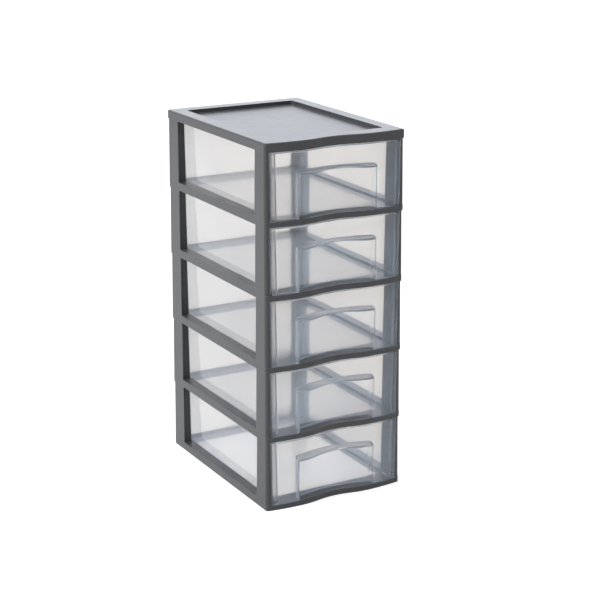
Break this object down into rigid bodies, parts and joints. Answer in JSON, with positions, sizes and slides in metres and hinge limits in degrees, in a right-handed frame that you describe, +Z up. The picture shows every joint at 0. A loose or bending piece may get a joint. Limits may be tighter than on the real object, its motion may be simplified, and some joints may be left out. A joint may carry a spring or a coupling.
{
  "type": "plastic drawer tower",
  "caption": "Tall free-standing tower of clear pull-out drawers in stacked grey ring frames with open sides and back, wavy front, scooped finger grips and a tray-like top.",
  "frame": {"origin": "on the floor under the middle of the bounding box", "axes": "+X to the right seen from the front, +Y to the back, +Z up"},
  "size_m": [0.262, 0.367, 0.624],
  "materials": {
    "grey_frame": "satin moulded polypropylene, slate grey",
    "clear_drawer": "clear polypropylene, faintly milky"
  },
  "bodies": {
    "tower": {"tier_frame_1": "grey_frame", "tier_frame_2": "grey_frame", "tier_frame_3": "grey_frame", "tier_frame_4": "grey_frame", "tier_frame_5": "grey_frame", "top_cover": "grey_frame"},
    "pull_out_1": {"drawer_1": "clear_drawer"},
    "pull_out_2": {"drawer_2": "clear_drawer"},
    "pull_out_3": {"drawer_3": "clear_drawer"},
    "pull_out_4": {"drawer_4": "clear_drawer"},
    "pull_out_5": {"drawer_5": "clear_drawer"}
  },
  "joints": [
    {"name": "drawer_1_slide", "type": "slide", "parent": "tower", "child": "pull_out_1", "axis": [0, -1, 0], "range_m": [0, 0.28]},
    {"name": "drawer_2_slide", "type": "slide", "parent": "tower", "child": "pull_out_2", "axis": [0, -1, 0], "range_m": [0, 0.28]},
    {"name": "drawer_3_slide", "type": "slide", "parent": "tower", "child": "pull_out_3", "axis": [0, -1, 0], "range_m": [0, 0.28]},
    {"name": "drawer_4_slide", "type": "slide", "parent": "tower", "child": "pull_out_4", "axis": [0, -1, 0], "range_m": [0, 0.28]},
    {"name": "drawer_5_slide", "type": "slide", "parent": "tower", "child": "pull_out_5", "axis": [0, -1, 0], "range_m": [0, 0.28]}
  ]
}
